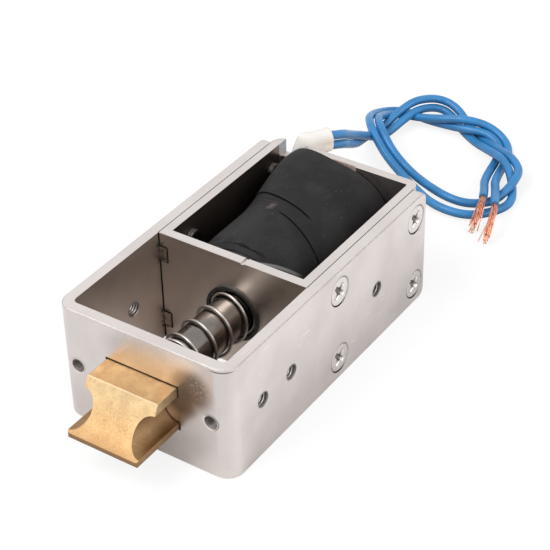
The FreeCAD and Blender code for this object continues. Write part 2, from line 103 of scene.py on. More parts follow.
# Route of the pair of leads in millimetres, along the middle of the pair: x, y, z, then how
# far the pair has turned about that line in degrees and the distance between the two leads
LEAD_ROUTE = [
    (-9.5, 37.23, 23.2, 90, 2.2),
    (-6.3, 43.63, 21.9, 90, 2.2),
    (-9, 50.73, 17.2, 88, 2.2),
    (-11.9, 57.73, 12.6, 80, 2.2),
    (-14.9, 64.93, 8, 60, 2.2),
    (-17.6, 71.83, 3.8, 30, 2.1),
    (-18.8, 76.93, 1.4, 0, 2),
    (-17.7, 79.63, 1.5, -10, 2),
    (-16.2, 85.03, 3.6, -30, 2.1),
    (-14.8, 89.23, 4.4, -60, 2.1),
    (-12.4, 94.33, 3, -75, 2.1),
    (-8.4, 94.13, 2.2, -55, 2.1),
    (-4.3, 91.23, 1.1, -10, 2.1),
    (1.2, 87.43, 1.1, 0, 2.1),
    (6.4, 83.93, 2.5, 0, 2),
    (11.7, 80.23, 4.1, 0, 2),
    (15.1, 77.63, 3.3, -10, 2.1),
    (17, 73.43, 2.5, -85, 2.3),
    (17.4, 69.33, 1.5, -165, 2.6),
    (16, 66.33, 1, 180, 3.4),
    (12.3, 62.38, 1.1, 180, 4.6),
    (6.6, 61.53, 1.6, 180, 4.2),
    (0.3, 64.33, 1.5, 180, 2.9),
    (-5.1, 67.33, 1.5, 180, 2.1),
    (-9.9, 68.33, 4.3, 180, 2),
    (-14.2, 70.83, 6.9, 180, 2),
    (-17.2, 74.13, 7, 180, 2),
    (-19.7, 78.53, 5.2, 180, 2),
    (-20.6, 84.33, 2.8, 180, 2),
    (-18.6, 88.43, 1.6, 185, 2),
    (-12.6, 87.93, 2, 215, 2.1),
    (-6.8, 87.33, 3.3, 250, 2.1),
    (-2.1, 87.73, 4, 295, 2.1),
    (2.1, 89.23, 3.4, 335, 2),
    (5.6, 88.83, 2.2, 355, 1.95),
    (8, 86.93, 1.1, 360, 1.95),
    (9.3, 82.63, 1, 360, 2),
    (10.3, 77.83, 1.4, 360, 2.1),
    (12.2, 71.73, 2.8, 360, 2.2),
    (14.5, 67.63, 3.9, 360, 2.3),
    (16.75, 62.83, 4.6, 360, 2.45),
]
LEAD_SIDES = {"a": 1, "b": -1}
LEAD_STAGGER = 1.6 * MM
STRAND_TIPS = {"a": (16.4 * MM, 56.03 * MM, 0.62 * MM), "b": (20.6 * MM, 53.63 * MM, 0.62 * MM)}
STRAND_LAYERS = ((0.0, 1), (0.26 * MM, 6), (0.5 * MM, 12))
STRAND_ROWS = 26

# Where one lap of tape ends on another, as shares of the coil's length: the middle of a wave
# round the coil, its height, and the turn in degrees at which it rises through the middle
TAPE_LAPS = ((0.60, 0.15, 135), (0.335, 0.11, 58))
TAPE_GIRTH = 81 * MM
TAPE_LENGTH = 33 * MM
TAPE_BORE = 11.2 * MM
PAD_START = 0.45
PAD_TURN = 128
PAD_SPREAD = 34


# Settings that a user would change
def size_of(name, description, default):
    return FloatProperty(name=name, description=description, default=default * MM, unit="LENGTH")


def turns_of(name, description, default):
    return FloatProperty(name=name, description=description, default=default)


def colour_of(name, description, default):
    return FloatVectorProperty(
        name=name, description=description, default=default, size=3, subtype="COLOR", min=0, max=1)


class SolenoidSizes(bpy.types.PropertyGroup):
    wire_diameter: size_of("Lead diameter", "Outside of the blue insulation", 1.8)
    strand_diameter: size_of("Strand diameter", "One bare copper strand", 0.2)
    spring_wire: size_of("Spring wire", "Diameter of the spring's wire", 0.6)
    spring_radius: size_of("Spring radius", "Axis to the outside of the spring", 4.8)
    spring_open_turns: turns_of("Open turns", "Turns of the spring that stand apart", 4.0)
    spring_closed_turns: turns_of("Closed turns", "Turns that lie together at each end", 1.0)
    tape_radius: size_of("Tape radius", "Axis to the outside of the taped coil", 12.9)
    pad_height: size_of("Pad height", "How far the pad over the lead joints swells", 3.3)
    thread_pitch: size_of("Thread pitch", "Rise of one turn of the tapped holes' threads", 0.5)
    thread_depth: size_of("Thread depth", "How far the ridges stand into a tapped hole", 0.17)


class SolenoidColours(bpy.types.PropertyGroup):
    nickel: colour_of("Nickel plate", "Plated steel sheet", (0.67, 0.62, 0.60))
    brass: colour_of("Brass", "Latch bolt", (0.64, 0.43, 0.215))
    insulation: colour_of("Lead insulation", "Blue covering of the leads", (0.026, 0.215, 0.50))
    copper: colour_of("Copper", "Bare strands", (0.86, 0.42, 0.30))
    tape: colour_of("Tape", "Cloth tape round the coil", (0.0095, 0.0085, 0.0088))
    sleeve: colour_of("Sleeve", "Soft sleeve round the leads", (0.86, 0.82, 0.775))
    floor: colour_of("Floor", "Pale floor under the part", (0.93, 0.93, 0.93))


def sizes():
    return bpy.context.scene.solenoid_sizes


def colours():
    return bpy.context.scene.solenoid_colours


# Shader maths and nodes
class Socket:
    """A shader output. Plus, minus, times and the like add Math nodes after it."""

    def __init__(self, look, link):
        self.look = look
        self.link = link

    def maths(self, operation, first, second):
        return self.look.node("Math", {"operation": operation}, {0: first, 1: second})

    def __add__(self, other):
        return self.maths("ADD", self, other)

    def __sub__(self, other):
        return self.maths("SUBTRACT", self, other)

    def __rsub__(self, other):
        return self.maths("SUBTRACT", other, self)

    def __mul__(self, other):
        return self.maths("MULTIPLY", self, other)

    def __abs__(self):
        return self.maths("ABSOLUTE", self, 0)

    def least(self, other):
        return self.maths("MINIMUM", self, other)

    def most(self, *others):
        largest = self
        for other in others:
            largest = self.maths("MAXIMUM", largest, other)
        return largest

    __radd__ = __add__
    __rmul__ = __mul__


class Look:
    """One material, or the world, with the nodes that its finish is made of."""

    def __init__(self, name, owner=None):
        self.owner = owner or bpy.data.materials.new(name)
        self.owner.use_nodes = True
        self.tree = self.owner.node_tree
        self.tree.nodes.clear()
        self.colour = None
        self.relief = None

    def node(self, kind, settings=None, sockets=None, output=0):
        """Add a node, set its settings, fill its sockets, and return one of its outputs."""
        made = self.tree.nodes.new("ShaderNode" + kind)
        for name, value in (settings or {}).items():
            setattr(made, name, value)
        for name, value in (sockets or {}).items():
            if isinstance(value, Socket):
                self.tree.links.new(value.link, made.inputs[name])
            else:
                target = made.inputs[name]
                padded = tuple(value) + (1,) if target.type == "RGBA" and len(value) == 3 else value
                target.default_value = padded
        return Socket(self, made.outputs[output]) if made.outputs else None

    def part_of(self, vector, axis):
        return self.node("SeparateXYZ", sockets={0: vector}, output="XYZ".index(axis))

    def where(self, stretch=None):
        """Object coordinates in metres, each axis scaled by stretch."""
        place = self.node("TexCoord", output="Object")
        if stretch is None:
            return place
        return self.node("VectorMath", {"operation": "MULTIPLY"}, {0: place, 1: stretch})

    def axes(self):
        """Object coordinates x, y and z in metres, one by one."""
        place = self.where()
        return [self.part_of(place, axis) for axis in "XYZ"]

    def normal(self, axis):
        """How far the surface faces along an axis, from -1 to 1."""
        return self.part_of(self.node("NewGeometry", output="Normal"), axis)

    def facing(self, axis):
        """How far the surface faces along an axis, either way, from 0 to 1."""
        return abs(self.normal(axis))

    def sine(self, angle):
        return self.node("Math", {"operation": "SINE"}, {0: angle})

    def ramp(self, value, low, high):
        """0 below low and 1 above high, smooth between."""
        return self.node(
            "MapRange", {"interpolation_type": "SMOOTHSTEP"},
            {"Value": value, "From Min": low, "From Max": high})

    def below(self, value, limit, soft=0.02 * MM):
        """1 where the value is under the limit and 0 above it."""
        return 1 - self.ramp(value, limit - soft, limit + soft)

    def line(self, value, place, half, soft=0.03 * MM):
        """1 on a line where the value is near the place, and 0 beside it."""
        return 1 - self.ramp(abs(value - place), half - soft, half + soft)

    def noise(self, size, vector=None, detail=3.0, rough=0.5):
        """Soft random clouds about size millimetres across, from 0 to 1."""
        place = vector or self.where()
        sockets = {"Vector": place, "Scale": 1 / (size * MM), "Detail": detail, "Roughness": rough}
        return self.node("TexNoise", sockets=sockets)

    def spots(self, size, low, high, detail=3.0):
        """1 where random clouds about size millimetres across are over high, 0 under low."""
        return self.ramp(self.noise(size, detail=detail), low, high)

    def mix(self, factor, first, second):
        """The first colour at factor 0 and the second at 1."""
        settings = {"data_type": "RGBA", "clamp_factor": True}
        return self.node("Mix", settings, {0: factor, 6: first, 7: second}, output=2)

    def paint(self, factor, colour):
        """Lay a colour over the material's colour so far, in full where the factor is 1."""
        self.colour = self.mix(factor, self.colour, colour)

    def distance(self, first, second):
        sockets = {0: first, 1: second}
        return self.node("VectorMath", {"operation": "DISTANCE"}, sockets, output="Value")

    def near(self, middle, radius, vector=None):
        """1 at a point and 0 beyond radius from it."""
        away = self.distance(vector or self.where(), middle)
        return 1 - self.ramp(away, radius * 0.4, radius)

    def spacing(self, points, across, height):
        """Distance to the nearest of some points, each across and height, in a flat view."""
        flat = self.node("CombineXYZ", sockets={0: across, 1: height, 2: 0.0})
        nearest, *others = [self.distance(flat, (*point, 0)) for point in points]
        for other in others:
            nearest = nearest.least(other)
        return nearest

    def bump(self, height, depth):
        """Add relief to the relief so far; height runs from 0 to 1, depth is in millimetres."""
        sockets = {"Height": height, "Distance": depth * MM, "Strength": 1.0}
        if self.relief:
            sockets["Normal"] = self.relief
        self.relief = self.node("Bump", sockets=sockets)

    def finish(self, roughness, **sockets):
        """Close the material with one surface shader and return it."""
        names = {key.replace("_", " "): value for key, value in sockets.items()}
        names.update({"Base Color": self.colour, "Roughness": roughness, "Normal": self.relief})
        shader = self.node("BsdfPrincipled", sockets=names)
        self.node("OutputMaterial", sockets={"Surface": shader})
        return self.owner


# Finishes
def hole_gaps(look):
    """Distances to the axes of the nearest screw, tapped side hole and front hole."""
    x, y, z = look.axes()
    side, level = abs(x), z - AXIS_Z
    screws = look.spacing([(place, SCREW_RISE) for place in SCREW_YS], y, abs(level))
    tapped = look.spacing([(place, 0) for place in TAPPED_YS], y, level)
    front = look.spacing([(FRONT_HOLE_X, 0)], side, level)
    return screws, tapped, front + look.ramp(y, PLATE_REAR_Y + 0.1 * MM, PLATE_REAR_Y + 0.3 * MM)


def sheet_shade_and_blotches(look, screws, tapped, front):
    """Where sheet parts are painted dark as shade: the seams between the bracket, the coil frame and its
    staked tabs, the slot's walls and rim, the seats of the screws, and the holes, with dark blotches round
    the tabs."""
    x, y, z = look.axes()
    side, level = abs(x), z - AXIS_Z
    rise = abs(level)
    facing_x = look.facing("X")
    # Painted shade in the seam between the bracket and the coil frame, and in the corner and along the edge
    # at the yoke plate.
    seam = look.line(side, INSIDE_HALF, 0.08 * MM) * look.below(facing_x, 0.6, 0.1)
    seam = seam * look.ramp(y, YOKE_FRONT_Y - 0.1 * MM, YOKE_FRONT_Y)
    corner = look.line(y, YOKE_FRONT_Y, 0.2 * MM, 0.12 * MM) * look.line(side, INSIDE_HALF, 0.3 * MM)
    corner = corner * look.ramp(facing_x, 0.5, 0.7)
    edge = look.ramp(side, INSIDE_HALF - 0.3 * MM, INSIDE_HALF - 0.12 * MM)
    edge = edge * look.below(side, INSIDE_HALF + 0.1 * MM) * look.line(y, YOKE_FRONT_Y, 0.15 * MM)
    edge = edge * look.below(rise, AXIS_Z * 0.985)
    tab = abs(rise - SCREW_RISE)
    width = (0.13 * MM, 0.08 * MM)
    # Painted shade in the gaps round the staked tabs, and dark blotches round them.
    tabs = look.line(tab, TAB_HALF, *width) * look.ramp(side, COIL_HALF, COIL_HALF + 0.1 * MM)
    tabs = tabs.most(look.line(side, COIL_HALF, *width) * look.below(tab, TAB_HALF))
    tab_blotches = look.spots(0.9, 0.42, 0.62) * look.below(tab, 2.3 * MM, 0.5 * MM)
    tabs = tabs.most(tab_blotches * look.ramp(side, COIL_HALF - 0.2 * MM, COIL_HALF + 0.6 * MM) * 0.75)
    tabs = tabs * look.below(side, INSIDE_HALF + 0.2 * MM)
    tabs = tabs * look.line(y, YOKE_FRONT_Y - 0.2 * MM, 0.6 * MM, 0.3 * MM)
    # Painted shade on the slot's walls and round its rim.
    slot = look.below(side, SLOT_HALF) * look.below(rise, SLOT_RISE)
    slot = slot * look.below(y, PLATE_REAR_Y + 0.1 * MM) * look.below(look.facing("Y"), 0.5, 0.1)
    groove = look.spacing([(SLOT_HALF - 0.15 * MM, -0.2 * MM)], side, level)
    rim = look.below(side, SLOT_HALF + 0.1 * MM) * look.below(rise, SLOT_RISE + 0.1 * MM)
    rim = rim * look.ramp(groove, 2.6 * MM, 2.65 * MM) * look.below(y, PLATE_Y + 0.2 * MM)
    # Painted shade in the gaps round the screw heads, as a crescent that is heavier on one side.
    seats = look.below(screws, 2.97 * MM) * look.below(facing_x, 0.95, 0.03)
    shifted = look.spacing([(place + 0.4 * MM, SCREW_RISE) for place in SCREW_YS], y, rise)
    seats = seats * (look.ramp(shifted, 2.6 * MM, 2.9 * MM) * 0.75 + 0.25)
    # Painted shade inside the tapped and front holes and round the mouths of the tapped holes.
    bores = look.below(tapped, TAPPED_RADIUS, 0.05 * MM)
    bores = bores * look.below(side, HALF_WIDTH - 0.25 * MM, 0.1 * MM)
    mouths = look.below(tapped, 1.58 * MM, 0.06 * MM) * look.ramp(side, HALF_WIDTH - 0.1 * MM, HALF_WIDTH)
    fronts = look.below(front, FRONT_HOLE_RADIUS, 0.04 * MM) * look.ramp(y, PLATE_Y, PLATE_Y + 1 * MM)
    return seam.most(corner, edge, tabs, slot, rim, seats, bores * 0.85, mouths * 0.55, fronts * 0.85)


def paint_sheet_reflections(look, bay):
    """Painted reflections where sheet parts mirror darker things: browner round the plunger, nearly black
    round the taped coil, and dull and speckled on the front plate beside and over the bolt."""
    x, y, _ = look.axes()
    side = abs(x)
    walls = look.below(look.normal("Z"), 0.5, 0.2)
    ahead = look.ramp(y, PLATE_REAR_Y - 0.1 * MM, PLATE_REAR_Y) * look.below(y, YOKE_FRONT_Y + 0.1 * MM)
    ahead = ahead * look.below(side, INSIDE_HALF + 0.1 * MM) * walls
    # Painted reflection in the bay colour on the faces round the plunger.
    look.paint(ahead * (look.spots(4, 0.3, 0.7, 4) * 0.25 + 0.75), bay)
    # Painted shade, darker towards the right, on the faces across the bay.
    rightwards = look.ramp(x, 1 * MM, 9 * MM) * look.facing("Y")
    look.paint(ahead * rightwards * 0.34, (0.36, 0.29, 0.23))
    # Painted reflection of the dark taped coil on the walls round it, with dust specks.
    coil = look.ramp(y, YOKE_FRONT_Y + 1 * MM, YOKE_FRONT_Y + 1.1 * MM)
    coil = coil * look.below(y, TAPE_REAR_Y + 0.6 * MM) * look.below(side, COIL_HALF + 0.1 * MM) * walls
    dust = look.spots(0.5, 0.6, 0.75, 2)
    look.paint(coil, look.mix(dust, (0.3, 0.25, 0.22), (0.5, 0.36, 0.3)))
    # Painted reflections on the front plate: dark beside the bolt and grey over it.
    front = look.below(y, PLATE_Y + 0.3 * MM)
    speckle = look.spots(0.3, 0.5, 0.64, 2)
    beside = look.near((10.2 * MM, PLATE_Y, 17.0 * MM), 5.4 * MM)
    beside = beside.most(look.near((8.0 * MM, PLATE_Y, 14.0 * MM), 4.6 * MM))
    grainy = look.near((12.0 * MM, PLATE_Y, 18.0 * MM), 3.4 * MM) * speckle
    look.paint(beside * front * (0.76 - grainy * 0.36), (0.12, 0.1, 0.09))
    above = look.near((0.2 * MM, PLATE_Y, 19.8 * MM), 5.4 * MM, look.where((0.5, 1, 1)))
    look.paint(above * front * (0.34 + speckle * 0.14), (0.27, 0.26, 0.27))


def nickel_plate(name, tint=1.0, rough=0.26, bay=(0.54, 0.46, 0.41)):
    """Bright plated sheet: faint clouds, a fine grain, light scratches, lighter sheared edges,
    and a dull, broken band along the rolled top edges, painted darker as shade. The bay colour is a
    painted reflection on the faces round the plunger."""
    look = Look(name)
    look.colour = base = [c * tint for c in colours().nickel]
    clouds = look.noise(9, detail=4)
    grain = look.noise(0.5, detail=2)
    look.paint(look.ramp(clouds, 0.35, 0.7), [c * 0.9 for c in base])
    look.paint(look.spots(0.9, 0.73, 0.8, 1) * 0.3, [c * 0.6 for c in base])
    upright = look.normal("Z")
    sheared = look.ramp(upright, 0.92, 0.98)
    rolled = look.ramp(upright, 0.15, 0.45) * (1 - sheared)
    streaks = look.noise(0.16, look.where((1, 1, 0.08)), detail=2)
    broken = look.spots(0.5, 0.35, 0.65, 2)
    look.paint(sheared * 0.5 * streaks, (0.86, 0.81, 0.79))
    # Painted shade: the rolled top edges are darkened in broken patches, which dims the highlight on their
    # rounding.
    look.paint(rolled * (0.75 - broken * 0.4), (0.4, 0.365, 0.345))
    scratches = look.noise(0.3, look.where((1, 0.06, 0.5)), detail=1)
    scratches = look.ramp(scratches, 0.68, 0.74) * look.spots(5, 0.5, 0.6)
    look.paint(scratches * 0.45, (0.9, 0.88, 0.86))
    # Painted reflections of darker things on the sheet.
    paint_sheet_reflections(look, bay)
    screws, tapped, front = hole_gaps(look)
    # Painted shade: the dark places of the sheet are painted near black.
    dark = sheet_shade_and_blotches(look, screws, tapped, front)
    # A painted shadow in a thin crescent under the front right corner's top edge.
    corner_shadow = look.near(CORNER_SHADOW, 2.6 * MM) * look.line(look.axes()[2], CORNER_SHADOW[2], 0.12 * MM)
    look.paint(dark.most(corner_shadow * 0.8), (0.03, 0.026, 0.024))
    roughness = rough + clouds * 0.1 + grain * 0.08 + sheared * 0.12 + rolled * 0.24 + dark * 0.3
    look.bump(look.ramp(tapped.least(front), 1.35 * MM, 1.7 * MM), 0.2)
    look.bump(look.noise(1.3, detail=1.5), 0.012)
    look.bump(grain * 0.6 + streaks * 0.4, 0.006)
    return look.finish(roughness, Metallic=1.0)


def shaded_thread_metal():
    """Cut steel inside a hole, painted dark as the shade in the hole, with painted highlights on the
    crests.
    """
    look = Look("thread_plate")
    stain = look.noise(0.4)
    _, tapped, _ = hole_gaps(look)
    # Painted highlights on the crests, over walls painted near black as shade.
    crest = look.below(tapped, 1.28 * MM, 0.05 * MM)
    look.colour = (0.06, 0.05, 0.048)
    look.paint(crest * (1 - stain * 0.5), (0.8, 0.76, 0.74))
    look.bump(stain, 0.01)
    return look.finish(0.25 + stain * 0.2, Metallic=1.0)


def turned_metal(name, colour, rough, ring_depth, spots):
    """Metal turned on a lathe: fine rings round the Y axis, ring_depth millimetres deep, and
    faint stains."""
    look = Look(name)
    rings = look.noise(0.12, look.where((0.02, 1, 0.02)), detail=2)
    stains = look.spots(2.5, 0.5, 0.75, 4)
    look.colour = colour
    look.paint(stains * spots, [c * 0.6 for c in colour])
    look.bump(rings, ring_depth)
    return look.finish(rough + stains * 0.12 + rings * 0.08, Metallic=1.0)


def zinc_plate():
    """Plated screw: faint stains, and painted shade round its rim, in its recess and at its inner end."""
    look = Look("screw_zinc")
    side = abs(look.axes()[0])
    stains = look.spots(1.5, 0.5, 0.75)
    look.colour = (0.68, 0.64, 0.62)
    look.paint(stains * 0.4, (0.42, 0.39, 0.37))
    screws, _, _ = hole_gaps(look)
    # Painted shade in the gap round the head's rim.
    rim = look.ramp(screws, 2.58 * MM, 2.68 * MM) * look.ramp(side, COIL_HALF, COIL_HALF + 0.5 * MM)
    look.paint(rim * 0.75, (0.16, 0.145, 0.135))
    # Painted shade in the recess and along the sunk part, darkest inside the coil frame.
    sunk = look.below(side, HALF_WIDTH - 0.5 * MM, 0.35 * MM)
    deep = look.below(side, COIL_HALF + 0.1 * MM)
    look.paint(sunk * 0.9, look.mix(deep, (0.12, 0.1, 0.09), (0.05, 0.045, 0.04)))
    grain = look.noise(0.12, detail=2)
    look.bump(grain, 0.003)
    return look.finish(0.22 + stains * 0.12 + grain * 0.08, Metallic=1.0)


def cast_brass():
    """Brass with a sandy skin in front, smoother blotched flats, painted light high on the slant, painted
    shade low down and on the sides, and a bright painted highlight along the front top edge.
    """
    look = Look("bolt_brass")
    _, y, z = look.axes()
    up = look.normal("Z")
    flat = look.ramp(up, 0.93, 0.98)
    front = look.below(y, PLATE_Y - 4.9 * MM) * look.ramp(up, 0.1, 0.3)
    # Painted light on the upper part of the slant, and painted shade on the lower part.
    high = look.ramp(z, AXIS_Z - 1 * MM, AXIS_Z + 4 * MM) * (1 - flat)
    low = look.below(z, AXIS_Z - 2 * MM, 2.5 * MM)
    sand = look.noise(0.32, detail=4, rough=0.7)
    brown = look.spots(2, 0.35, 0.65, 4)
    look.colour = list(colours().brass)
    look.paint(look.spots(3, 0.3, 0.7, 5), (0.5, 0.3, 0.14))
    look.paint(high * 0.8, (0.92, 0.7, 0.4))
    look.paint(low * (0.82 + brown * 0.16), (0.2, 0.108, 0.048))
    look.paint(brown * 0.3, (0.42, 0.26, 0.13))
    # Painted shade on the sides.
    side_shade = look.ramp(look.facing("X"), 0.35, 0.75)
    look.paint(side_shade * 0.5, (0.28, 0.17, 0.09))
    look.paint(look.ramp(sand, 0.45, 0.75) * front * 0.6 * (1 - low), (0.82, 0.58, 0.3))
    pits = look.spots(0.4, 0.6, 0.7, 2)
    look.paint(pits * front * 0.5, (0.36, 0.22, 0.09))
    blotches = look.spots(1.6, 0.55, 0.75)
    look.paint(blotches * flat * 0.5, (0.4, 0.24, 0.12))
    # A painted highlight along the front top edge.
    edge_highlight = look.line(y, PLATE_Y - 5.2 * MM, 0.1 * MM)
    edge_highlight = edge_highlight * look.ramp(z, AXIS_Z + 4.3 * MM, AXIS_Z + 4.4 * MM)
    look.paint(edge_highlight * 0.8, (0.95, 0.78, 0.5))
    look.bump(sand * (1 - flat * 0.75), 0.035)
    brushed = look.noise(0.14, look.where((0.05, 1, 1)), detail=2)
    look.bump(brushed * flat, 0.006)
    return look.finish(0.38 - flat * 0.06 + sand * 0.16 - edge_highlight * 0.15, Metallic=1.0)


def cloth_tape():
    """Black cloth tape: a fine weave, painted shadow lines at the lap edges, painted shade in the folds, a
    light edge in front with a painted highlight, soft smears of adhesive, a little dust and a bit of lint."""
    look = Look("black_tape")
    place = look.node("UVMap", {"uv_map": "wrap"})
    across = look.part_of(place, "X")
    along = look.part_of(place, "Y")

    def at(turn):
        """Distance round the coil at a turn in degrees."""
        return turn / 360 * TAPE_GIRTH

    def seam(lap, half):
        """A painted shadow line along the wavy edge of a lap."""
        middle, height, turn = TAPE_LAPS[lap]
        swing = look.sine(across * (2 * math.pi / TAPE_GIRTH) - math.radians(turn))
        return look.line(along, swing * (height * TAPE_LENGTH) + middle * TAPE_LENGTH, half)

    thread = 2 * math.pi / (0.35 * MM)
    weave = look.sine(across * thread) * look.sine(along * thread) * 0.5 + 0.5
    clouds = look.noise(7, detail=5)
    smears = look.noise(1.2, look.where((1, 0.25, 1)))
    look.colour = list(colours().tape)
    look.paint(look.ramp(clouds, 0.4, 0.65), (0.019, 0.0175, 0.0175))
    look.paint(look.ramp(smears, 0.55, 0.85) * 0.4, (0.04, 0.036, 0.036))
    # Painted shadow lines where the laps end, and painted shade in the folds in front.
    rear = seam(0, 0.11 * MM) * look.ramp(across, at(62), at(72))
    front = seam(1, 0.1 * MM) * look.below(across, at(92), 1 * MM)
    wander = look.noise(3, detail=2) * 2.4 * MM
    folds = look.line(along + wander, 2.6 * MM, 0.2 * MM, 0.2 * MM)
    folds = folds.most(look.line(along - wander * 0.7, 0.6 * MM, 0.16 * MM, 0.15 * MM))
    folds = folds * look.line(across, at(92), 4.5 * MM, 2 * MM)
    dark = rear.most(front, folds * 0.9) * 0.88
    look.paint(dark, (0.001, 0.001, 0.001))
    dust = look.spots(0.26, 0.79, 0.83, 0.5)
    look.paint(dust * 0.55, (0.3, 0.28, 0.27))
    lint = look.near((-3.1 * MM, PLATE_Y + 43.6 * MM, 24.3 * MM), 1.6 * MM) * look.ramp(smears, 0.45, 0.6)
    look.paint(lint * 0.6, (0.13, 0.1, 0.1))
    slant = 1.62 * TAPE_LENGTH / TAPE_GIRTH
    # A painted highlight on the glossy edge of an inner lap in front.
    edge = look.line(along + across * slant, 0.3 * TAPE_LENGTH, 0.4 * MM, 0.15 * MM)
    edge = edge * look.line(across, at(56), 4 * MM, 1 * MM)
    look.paint(edge * 0.9, (0.16, 0.155, 0.15))
    look.bump(weave * 0.35 + smears * 0.65, 0.02)
    look.bump(look.noise(2.2, detail=4), 0.09)
    return look.finish(
        0.6 + clouds * 0.15 + dust * 0.2 - edge * 0.3, Metallic=dark, Specular_IOR_Level=0.22,
        Sheen_Weight=0.03, Sheen_Roughness=0.4)


def moulded_nylon():
    """Black moulding with a fine matt skin."""
    look = Look("bobbin_nylon")
    skin = look.noise(0.2, detail=2)
    look.colour = (0.009, 0.008, 0.008)
    look.paint(look.noise(5), (0.018, 0.017, 0.016))
    look.bump(skin, 0.008)
    return look.finish(0.42 + skin * 0.15)


def black_oxide():
    """Blackened spring steel with worn, lighter edges."""
    look = Look("ring_black_oxide")
    wear = look.spots(0.6, 0.55, 0.72, 4)
    look.colour = (0.02, 0.02, 0.022)
    look.paint(wear * 0.5, (0.16, 0.15, 0.145))
    look.bump(look.noise(0.15), 0.004)
    return look.finish(0.38 + wear * 0.15, Metallic=0.85)


def enamelled_winding():
    """Turns of enamelled wire, one beside the other along the axis, with painted light on each turn and
    painted shade between turns.
    """
    look = Look("winding_copper")
    turns = look.sine(look.axes()[1] * (2 * math.pi / (0.3 * MM)))
    look.colour = (0.28, 0.1, 0.04)
    # Painted light on the turns and painted shade between them.
    look.paint(turns * 0.5 + 0.5, (0.72, 0.36, 0.18))
    look.bump(turns, 0.04)
    return look.finish(0.3 + look.noise(1) * 0.1, Metallic=0.8)


def fibre_paper():
    """Brown insulation paper with long fibres."""
    look = Look("insulation_fibre")
    fibres = look.noise(0.3, look.where((1, 1, 0.3)), detail=4)
    look.colour = (0.36, 0.25, 0.22)
    look.paint(look.ramp(fibres, 0.35, 0.7), (0.5, 0.38, 0.35))
    look.bump(fibres, 0.02)
    return look.finish(0.75 + fibres * 0.15)


def soft_sleeve():
    """Off-white soft sleeving: milky, slightly stained, with painted shade on its upper side and a faint
    knit.
    """
    look = Look("sleeve_white")
    knit = look.node(
        "TexWave", {"wave_type": "BANDS", "bands_direction": "DIAGONAL"},
        {"Vector": look.node("UVMap", {"uv_map": "wrap"}), "Scale": 1 / (1.6 * MM), "Distortion": 2.0,
         "Detail": 2.0}, output="Fac")
    stains = look.spots(2.2, 0.45, 0.75)
    look.colour = list(colours().sleeve)
    look.paint(stains * 0.3, (0.74, 0.64, 0.54))
    # Painted shade: darker where the sleeve faces up.
    look.paint(look.ramp(look.normal("Z"), 0.1, 0.8) * 0.9, (0.76, 0.725, 0.695))
    fold = look.near((-6.6 * MM, PLATE_Y + 68.4 * MM, 22.2 * MM), 2.4 * MM)
    look.paint(fold * 0.45, (0.78, 0.66, 0.52))
    look.bump(knit * 0.4 + look.noise(0.5) * 0.6, 0.02)
    return look.finish(
        0.48 + stains * 0.1, Subsurface_Weight=0.25, Subsurface_Radius=(0.9, 0.7, 0.5),
        Subsurface_Scale=0.6 * MM)


def lead_insulation():
    """Blue flexible insulation, slightly uneven, with painted shade underneath and a waxy gloss."""
    look = Look("lead_blue")
    look.colour = base = list(colours().insulation)
    clouds = look.noise(3.5)
    look.paint(look.ramp(clouds, 0.3, 0.75), [c * 0.8 for c in base])
    # Painted shade on the undersides.
    look.paint(look.below(look.normal("Z"), -0.05, 0.6) * 0.8, [c * 0.3 for c in base])
    dust = look.spots(0.7, 0.77, 0.83, 1)
    look.paint(dust * 0.3, (0.5, 0.6, 0.75))
    look.bump(look.noise(0.45, detail=2), 0.012)
    return look.finish(0.36 + clouds * 0.12 + dust * 0.1, Coat_Weight=0.08)


def bare_copper():
    """Drawn copper strands, brighter and duller along their length."""
    look = Look("strand_copper")
    tarnish = look.noise(0.9, detail=4)
    look.colour = list(colours().copper)
    look.paint(look.ramp(tarnish, 0.4, 0.7), (0.52, 0.2, 0.1))
    look.bump(look.noise(0.08), 0.003)
    return look.finish(0.26 + tarnish * 0.15, Metallic=1.0)


# Meshes from grids of points
def closed(points):
    """Repeat the first column at the end, so that a grid closes on itself."""
    return np.concatenate([points, points[:, :1]], axis=1)


def capped(points):
    """Add the middle of the first and last row as one more row each, which closes the ends."""
    first = np.repeat(points[:1].mean(axis=1, keepdims=True), points.shape[1], axis=1)
    last = np.repeat(points[-1:].mean(axis=1, keepdims=True), points.shape[1], axis=1)
    return np.concatenate([first, points, last], axis=0)


